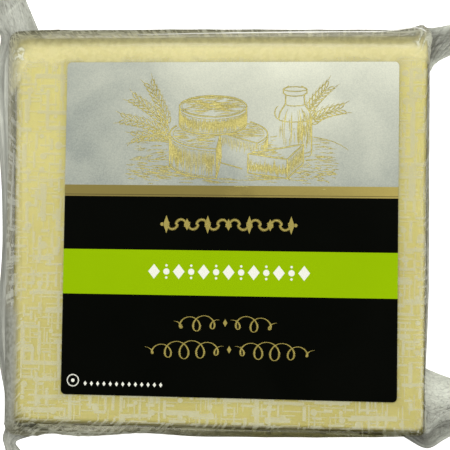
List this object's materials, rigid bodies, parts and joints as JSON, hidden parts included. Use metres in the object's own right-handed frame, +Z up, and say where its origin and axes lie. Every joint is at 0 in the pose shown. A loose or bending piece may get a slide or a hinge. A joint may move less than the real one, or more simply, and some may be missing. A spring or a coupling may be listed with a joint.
{
  "type": "mild cheddar pack",
  "caption": "Square slab of mild cheddar sealed under vacuum in clear printed film with pleated ears, and a flat label on its face.",
  "frame": {"origin": "middle of the slab's underside, on the surface that it lies on", "axes": "+X to the right of the label, +Y to its top, +Z up out of the label"},
  "size_m": [0.14, 0.1397, 0.0362],
  "materials": {
    "cheese": "smooth pale yellow cheese behind clear film",
    "film": "clear crinkled film with a white thread print",
    "label": "smooth printed label in black, lime and silver",
    "foil": "satin gold ink"
  },
  "bodies": {
    "root": {"sealed_bag": "cheese", "label": "label"}
  },
  "joints": []
}
